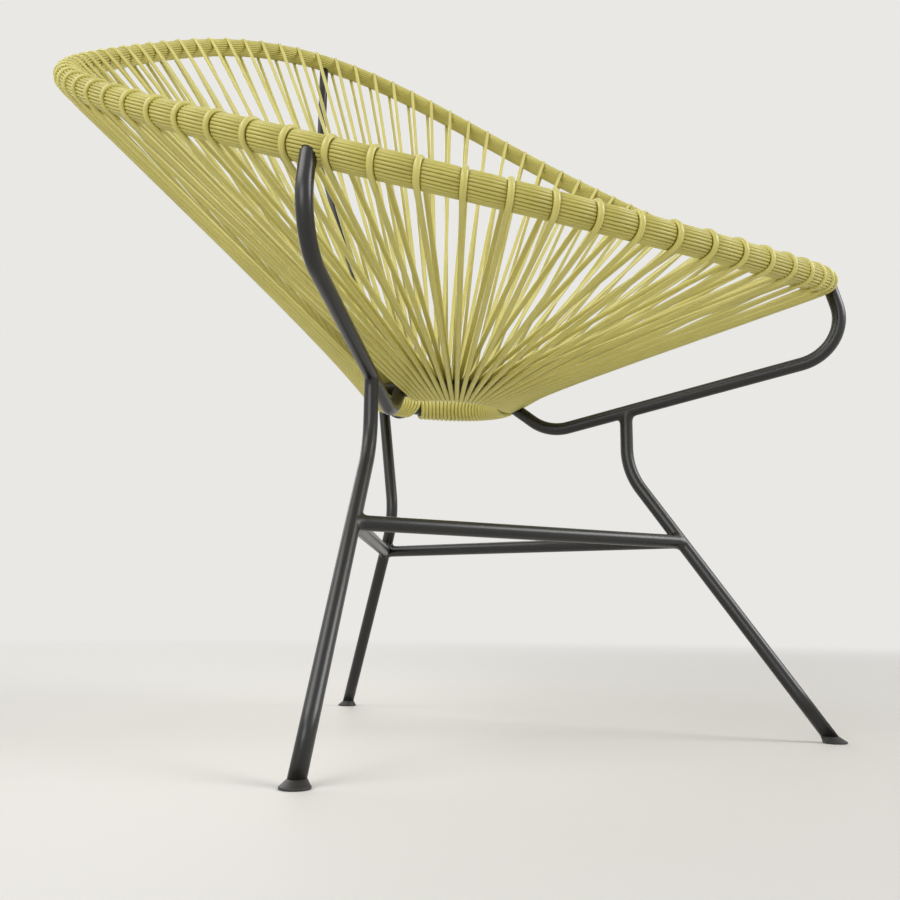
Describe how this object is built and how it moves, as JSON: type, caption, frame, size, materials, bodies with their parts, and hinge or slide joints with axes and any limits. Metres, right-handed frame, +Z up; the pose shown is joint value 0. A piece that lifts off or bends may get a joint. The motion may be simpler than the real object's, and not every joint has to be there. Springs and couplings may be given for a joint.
{
  "type": "acapulco chair",
  "caption": "Round wire lounge chair: cord wound from a tilted egg-shaped rim to a small seat ring, on a black bent tube frame with splayed legs and stretchers.",
  "frame": {"origin": "on the floor, under the middle of the whole chair", "axes": "+Z up, the sitter faces -Y, +X is the sitter's left"},
  "size_m": [0.7728, 0.7314, 0.8977],
  "materials": {
    "frame": "satin black powder coat",
    "cord": "smooth extruded PVC cord, pale lime yellow",
    "strand": "smooth thin PVC strands, pale lime yellow",
    "foot": "moulded black plastic"
  },
  "bodies": {
    "root": {"rim_hoop": "frame", "rim_jacket": "strand", "seat_ring": "frame", "arm_front_right": "frame", "arm_front_left": "frame", "arm_rear": "frame", "leg_front_right": "frame", "leg_front_left": "frame", "leg_rear": "frame", "foot_front_right": "foot", "foot_front_left": "foot", "foot_rear": "foot", "stretcher_front": "frame", "stretcher_right": "frame", "stretcher_left": "frame", "seat_cord_front": "cord", "seat_cord_left": "cord", "seat_cord_rear_left": "cord", "seat_cord_rear_right": "cord", "seat_cord_right": "cord"}
  },
  "joints": []
}
